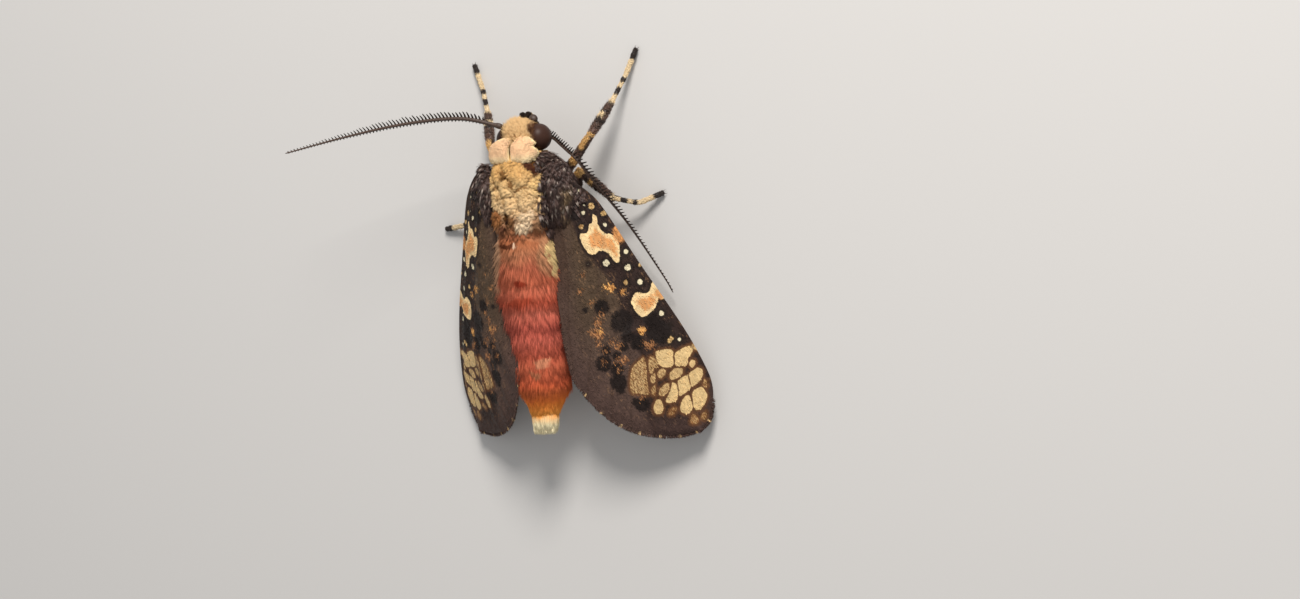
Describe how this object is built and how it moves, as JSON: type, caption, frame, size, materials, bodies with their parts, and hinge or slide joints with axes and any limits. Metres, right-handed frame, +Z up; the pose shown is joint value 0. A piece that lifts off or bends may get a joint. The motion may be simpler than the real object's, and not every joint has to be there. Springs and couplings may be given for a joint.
{
  "type": "tiger moth",
  "caption": "Tiger moth at rest with roofed, spotted forewings, a furry rose abdomen, comb-toothed antennae and ringed legs, as a still life-size model.",
  "frame": {"origin": "on the ground under the middle of the whole moth, feelers and feet included", "axes": "+Z up out of its back, -Y towards the head, +Y towards the tail, -X towards the moth's right"},
  "size_m": [0.044, 0.0424, 0.0131],
  "materials": {
    "head_coat": "short cream and ochre hair",
    "eye": "glossy dark brown",
    "palp_scales": "dark scales with cream edges",
    "antenna": "dark stem with a comb of teeth",
    "collar_scales": "smooth pale cream-pink scales",
    "thorax_coat": "cream and ochre hair with brown patches",
    "tegula_scales": "dark brown scales with whitish flecks",
    "abdomen_coat": "long rose-red hair, orange towards the tail",
    "tail_brush": "cream-white hair",
    "forewing_scales": "flat brown scales with cream and orange patches",
    "hindwing_scales": "thin grey-brown scales",
    "leg_scales": "brown scales, ringed cream and black on the feet"
  },
  "bodies": {
    "root": {"head": "head_coat", "eye_left": "eye", "eye_right": "eye", "palp_left": "palp_scales", "palp_right": "palp_scales", "antenna_left": "antenna", "antenna_right": "antenna", "collar_left": "collar_scales", "collar_right": "collar_scales", "thorax": "thorax_coat", "tegula_left": "tegula_scales", "tegula_right": "tegula_scales", "abdomen": "abdomen_coat", "tail_tuft": "tail_brush", "forewing_left": "forewing_scales", "forewing_right": "forewing_scales", "hindwing_left": "hindwing_scales", "hindwing_right": "hindwing_scales", "fore_left_femur": "leg_scales", "fore_left_tarsus": "leg_scales", "fore_left_tibia": "leg_scales", "fore_right_femur": "leg_scales", "fore_right_tarsus": "leg_scales", "fore_right_tibia": "leg_scales", "hind_left_femur": "leg_scales", "hind_left_tarsus": "leg_scales", "hind_left_tibia": "leg_scales", "hind_right_femur": "leg_scales", "hind_right_tarsus": "leg_scales", "hind_right_tibia": "leg_scales", "mid_left_femur": "leg_scales", "mid_left_tarsus": "leg_scales", "mid_left_tibia": "leg_scales", "mid_right_femur": "leg_scales", "mid_right_tarsus": "leg_scales", "mid_right_tibia": "leg_scales"}
  },
  "joints": []
}
